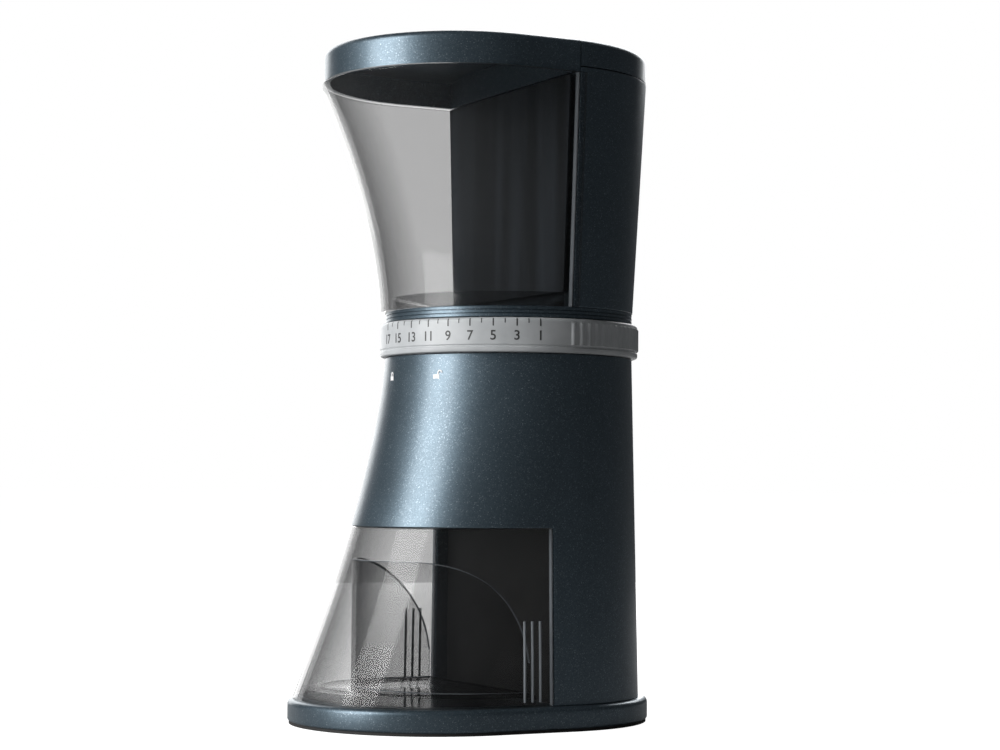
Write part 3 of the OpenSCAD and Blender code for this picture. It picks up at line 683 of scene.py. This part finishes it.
def collar():
    """Light grey ring with rounded lips, and grip ribs round the back."""
    count, pitch, start = 1440, math.radians(4.1), math.radians(91)
    a = np.linspace(0, 2 * math.pi, count, endpoint=False)
    from_front = np.where(a > math.pi, 2 * math.pi - a, a)
    phase = ((from_front - start) / pitch + 0.5) % 1 - 0.5
    ribbed = from_front >= start - pitch / 2
    rib = np.where(ribbed, np.clip(1 - (np.abs(phase) / 0.32) ** 2, 0, 1) * 0.45 * MM, 0)
    inner = 45.4 * MM
    c = COLLAR_ROUND
    profile = [(inner + 3.6 * MM, Z_COLLAR_TOP - 3 * MM), (inner + 3.6 * MM, Z_COLLAR), (inner, Z_COLLAR),
               (inner, Z_COLLAR_TOP), (COLLAR_R - c, Z_COLLAR_TOP)]
    profile += [(COLLAR_R - c * (1 - math.sin(t)), Z_COLLAR_TOP - c * (1 - math.cos(t)))
                for t in np.linspace(0.2, math.pi / 2, 6)]
    ribs_from = len(profile)
    profile += [(COLLAR_R, z) for z in np.linspace(Z_COLLAR_TOP - 2 * MM, Z_COLLAR + 3.2 * MM, 8)]
    ribs_to = len(profile)
    lip = 0.35 * MM
    profile += [(COLLAR_R - lip, Z_COLLAR + 2.7 * MM), (COLLAR_R - lip, Z_COLLAR + 2.3 * MM),
                (COLLAR_R, Z_COLLAR + 1.9 * MM), (COLLAR_R, Z_COLLAR + 0.9 * MM),
                (COLLAR_R - 0.3 * MM, Z_COLLAR + 0.3 * MM), (COLLAR_R - 0.9 * MM, Z_COLLAR),
                (COLLAR_R - 3 * MM, Z_COLLAR), (COLLAR_R - 3 * MM, Z_COLLAR_TOP - 3 * MM),
                (inner + 3.6 * MM, Z_COLLAR_TOP - 3 * MM)]
    rows = []
    for i, (r, z) in enumerate(profile):
        out = r + (rib if ribs_from <= i < ribs_to else 0)
        rows.append(np.c_[out * np.sin(a), -out * np.cos(a), np.full(count, z)])
    obj = grid_piece("collar_grey", rows, closed=True)
    dress(settle(obj, 32), M["grey_plastic"], "collar", "grey_plastic", "grind_collar")


def wrap(mesh, angle, z, radius, reach=0.0):
    """Bends a flat mesh (x to the right, y up, z out) round the front, at an angle towards +X."""
    for v in mesh.vertices:
        height = z + v.co.y
        base = radius(height)
        a = angle + v.co.x / base
        r = base + v.co.z
        v.co = (r * math.sin(a), -reach - r * math.cos(a), height)


def collar_skin(z):
    """Radius of the collar at a height, with its rounded upper edge."""
    over = max(0.0, z - (Z_COLLAR_TOP - COLLAR_ROUND))
    return COLLAR_R - COLLAR_ROUND + math.sqrt(max(0.0, COLLAR_ROUND ** 2 - over ** 2))


def flat_text(text, size, thick):
    """A number as a flat mesh, slightly emboldened."""
    data = bpy.data.curves.new("digits", "FONT")
    data.body = text
    data.size = size
    data.align_x = "CENTER"
    data.align_y = "CENTER"
    data.extrude = thick
    data.resolution_u = 6
    data.offset = size * 0.012
    obj = bpy.data.objects.new("digits", data)
    bpy.context.scene.collection.objects.link(obj)
    dg = bpy.context.evaluated_depsgraph_get()
    mesh = bpy.data.meshes.new_from_object(obj.evaluated_get(dg))
    bpy.data.objects.remove(obj)
    out = bpy.data.objects.new("digits", mesh)
    bpy.context.scene.collection.objects.link(out)
    return out


def flat_box(width, height, thick, rows=1):
    """A thin plate, split into rows so that it can follow a curve."""
    ys = np.linspace(-height / 2, height / 2, rows + 1)
    loop = [[(-width / 2, y, thick), (width / 2, y, thick), (width / 2, y, -thick), (-width / 2, y, -thick)]
            for y in ys]
    return grid_piece("plate", loop, closed=True, cap_start=True, cap_end=True)


def collar_marks():
    """The dial: odd numbers from 1 to 17 with a long tick each, and short ticks between."""
    step, first, last = math.radians(5.05), math.radians(75.6), 17
    parts = []
    for n in range(1, last + 1):
        angle = first - (n - 1) * step
        long = n % 2 == 1
        high = 3.1 * MM if long else 1.9 * MM
        tick = flat_box(0.55 * MM if long else 0.4 * MM, high, PRINT_T, 8)
        wrap(tick.data, angle, Z_COLLAR_TOP - 0.45 * MM - high / 2, collar_skin)
        parts.append(tick)
        if long:
            digits = flat_text(str(n), 5.5 * MM, PRINT_T)
            wrap(digits.data, angle, Z_COLLAR_TOP - 7.5 * MM, collar_skin)
            parts.append(digits)
    dress(join("collar_marks", parts), PRINT_DARK, "collar", "grey_plastic")


def padlock(angle, is_open):
    """A small padlock mark on the body, closed or open."""
    z = Z_BODY_TOP - 9.6 * MM
    parts = [flat_box(2.9 * MM, 2.1 * MM, PRINT_T)]
    t = np.linspace(0, math.pi, 13)
    mid, half, r0 = 1.05 * MM, 0.27 * MM, 0.85 * MM
    shift = 1.7 * MM if is_open else 0.0
    lift = 0.75 * MM
    pts = [(r0 * math.cos(s) + shift, lift + mid + r0 * math.sin(s), math.cos(s), math.sin(s)) for s in t]
    first, final = pts[0], pts[-1]
    if not is_open:
        pts = [(first[0], mid, 1, 0)] + pts
    pts = pts + [(final[0], mid, -1, 0)]
    rows = []
    for side in (1, -1):
        for level in (1, -1):
            rows.append([(x + side * half * nx, y + side * half * ny, side * level * PRINT_T)
                         for x, y, nx, ny in pts])
    shackle = grid_piece("shackle", rows + [rows[0]])
    parts.append(shackle)
    for p in parts:
        wrap(p.data, angle, z, lambda h: body_r(h) + PRINT_T * 0.5, body_e(z))
    return parts


def body_marks():
    """The two padlocks, closed and open."""
    parts = padlock(math.radians(-3), False) + padlock(math.radians(29), True)
    dress(join("lock_marks", parts), PRINT_WHITE, "housing", "paint")


# ---------------------------------------------------------------- clear parts

def corner_strip(side, heights, radius, y, wide, deep):
    """A thin strip of painted highlight up the rear edge of a clear wall, on one side."""
    rows = []
    for z in heights:
        x, near = radius(z) - 0.15 * MM, y - 0.1 * MM
        corner = [(x, near), (x, y - wide), (x - deep, y - wide), (x - deep, near)]
        rows.append([(side * cx, cy, z) for cx, cy in corner])
    return grid_piece("strip", rows, closed=True, cap_start=True, cap_end=True)


def hopper():
    """Smoky hopper wall."""
    rows = [front_loop(top_r(z), top_e(z), SEAM, z, 170) for z in levels(Z_HOPPER, Z_HOPPER_TOP, 30)]
    obj = grid_piece("hopper_clear", rows, closed=True)
    thicken(obj, CLEAR_WALL)
    round_edges(obj, CLEAR_ROUND)
    dress(settle(obj), M["smoke_clear"], "housing", "smoke_clear", "hopper")


def hopper_corners():
    """Painted highlights up the hopper's two rear corners, as thin light strips."""
    heights = levels(Z_HOPPER, Z_HOPPER_TOP, 20)
    highlight_strips = [corner_strip(s, heights, top_r, SEAM, 0.5 * MM, 2.6 * MM) for s in (-1, 1)]
    dress(join("hopper_corners", highlight_strips), CLEAR_PAINTED_HIGHLIGHT, "housing", "smoke_clear")


def hopper_lining():
    """Painted shade: a dark sheet just inside the hopper's flat rear wall, where the column behind is only
    in shade.
    """
    rows = []
    for z in levels(edge("hopper_floor", 2, True) + 0.4 * MM, Z_HOPPER_TOP - 0.6 * MM, 12):
        half, y0, y1 = top_r(z) - 3 * MM, SEAM - 3.0 * MM, SEAM - 2.4 * MM
        xs = np.linspace(-half, half, 12)
        ring = [(x, y0, z) for x in xs] + [(x, y1, z) for x in reversed(xs)]
        rows.append(ring)
    back = grid_piece("hopper_lining", rows, closed=True, cap_start=True, cap_end=True)
    # painted shade: this dark sheet stands where there is only shade
    dress(settle(back), PAINTED_SHADE, "housing", "black_plastic")


def bin_window():
    """Smoky U-shaped window."""
    rows = []
    for z in levels(Z_BIN, Z_BIN_TOP, 22):
        path = cut_path(body_r(z), body_e(z), -BIN_BACK, True, 180)
        rows.append(np.c_[path, np.full(len(path), z)])
    obj = grid_piece("window_clear", rows)
    thicken(obj, CLEAR_WALL)
    round_edges(obj, CLEAR_ROUND)
    dress(settle(obj), M["smoke_clear"], "bin", "smoke_clear", "bin_window")


def grip_rib(side, forward):
    """One upright rib on the window's side, fading out at its ends."""
    low, high = 12 * MM, 44 * MM
    half, proud, sunk = 0.55 * MM, 0.7 * MM, 0.1 * MM
    t = np.linspace(0, math.pi, 9)
    rows = []
    for z in np.linspace(low, high, 14):
        swell = math.sin(math.pi * (0.06 + 0.88 * (z - low) / (high - low))) ** 0.3
        y = -forward + half * np.cos(t)
        x = body_r(z) - sunk + proud * swell * np.sin(t)
        rows.append(np.c_[side * x, y, np.full(9, z)])
    return grid_piece("rib", rows, closed=True, cap_start=True, cap_end=True)


def window_ribs():
    """Grip ribs near the window's rear edges, and painted highlight strips up those edges; the ribs too take
    the lighter painted-highlight smoke.
    """
    heights = levels(Z_BIN, Z_BIN_TOP, 10)
    ribs = []
    for s in (-1, 1):
        ribs += [grip_rib(s, forward) for forward in (14 * MM, 17.5 * MM, 21 * MM)]
        ribs.append(corner_strip(s, heights, body_r, -BIN_BACK, 0.6 * MM, 1.9 * MM))
    dress(join("window_ribs", ribs), CLEAR_PAINTED_HIGHLIGHT, "bin", "smoke_clear")


def tub():
    """Clear inner tub: straight front, and side walls whose top edge sweeps down in an arc to the rear."""
    z0 = Z_BIN + 2.5 * MM
    back, wall = 14 * MM, 1.8 * MM
    side_gap, front_gap, floor_gap = 5 * MM, 2 * MM, 2.5 * MM
    r = body_r(Z_BIN_TOP) - CLEAR_WALL - side_gap
    reach = body_e(Z_TUB_TOP) + body_r(Z_TUB_TOP) - CLEAR_WALL - front_gap - r
    height = Z_TUB_TOP - z0
    corner = height - 10 * MM
    arc_y = -back - corner

    def rim(y):
        if y < arc_y:
            return Z_TUB_TOP
        drop = corner - math.sqrt(max(0.0, corner ** 2 - (y - arc_y) ** 2))
        return Z_TUB_TOP - min(drop, corner - 4 * MM)

    path = cut_path(r, reach, -back, True, 150)
    rows = []
    for t in levels(0, 1, 16, 0.012):
        rows.append([(x, y, z0 + (rim(y) - z0) * t) for x, y in path])
    side = grid_piece("side", rows)
    thicken(side, wall)
    round_edges(side, CLEAR_ROUND)
    settle(side)
    floor_top = z0 + 1.5 * MM
    fr, fe = body_r(floor_top) - floor_gap, body_e(floor_top)
    rows = []
    for inset, z in ((0.6 * MM, Z_BIN + 0.3 * MM), (0, Z_BIN + 0.8 * MM), (0, floor_top - 0.5 * MM),
                     (0.6 * MM, floor_top), (6 * MM, floor_top), (7.5 * MM, floor_top + 0.6 * MM),
                     (9 * MM, floor_top)):
        rows.append(front_loop(fr - inset, fe, -back - 0.5 * MM, z, 150))
    floor = grid_piece("floor_plate", rows, closed=True, cap_start=True, cap_end=True)
    settle(floor, 30)
    obj = join("tub_clear", [side, floor])
    dress(obj, M["smoke_clear"], "bin", "smoke_clear", "bin_tub")
    # painted highlights: a light strip along the tub's top rim and a light line near its floor
    lift, sunk, half = 0.12 * MM, -0.35 * MM, 0.75 * MM
    mid = cut_path(r - wall / 2, reach, -back, True, 150)
    turn = np.gradient(mid, axis=0)
    turn = turn / np.linalg.norm(turn, axis=1)[:, None]
    rows = []
    for side_step, up in ((-half, lift), (half, lift), (half, sunk), (-half, sunk), (-half, lift)):
        rows.append([(x + side_step * ty, y - side_step * tx, rim(y) + up)
                     for (x, y), (tx, ty) in zip(mid, turn)])
    rim_highlight_line = grid_piece("tub_rim_highlight", rows)
    low = [[(x + d * ty, y - d * tx, floor_top + 0.25 * MM + u) for (x, y), (tx, ty) in zip(mid, turn)]
           for d, u in ((-half - 1 * MM, 0), (-1 * MM, 0.4 * MM), (half - 1 * MM, 0))]
    dress(join("tub_edge_highlights", [rim_highlight_line, grid_piece("tub_foot_highlight", low)]), CLEAR_PAINTED_HIGHLIGHT, "bin", "smoke_clear")


camera()
lights()
surround()
pale_floor()
body()
base()
lids()
spine()
flange()
collar()
collar_marks()
body_marks()
hopper()
hopper_corners()
hopper_lining()
bin_window()
window_ribs()
tub()
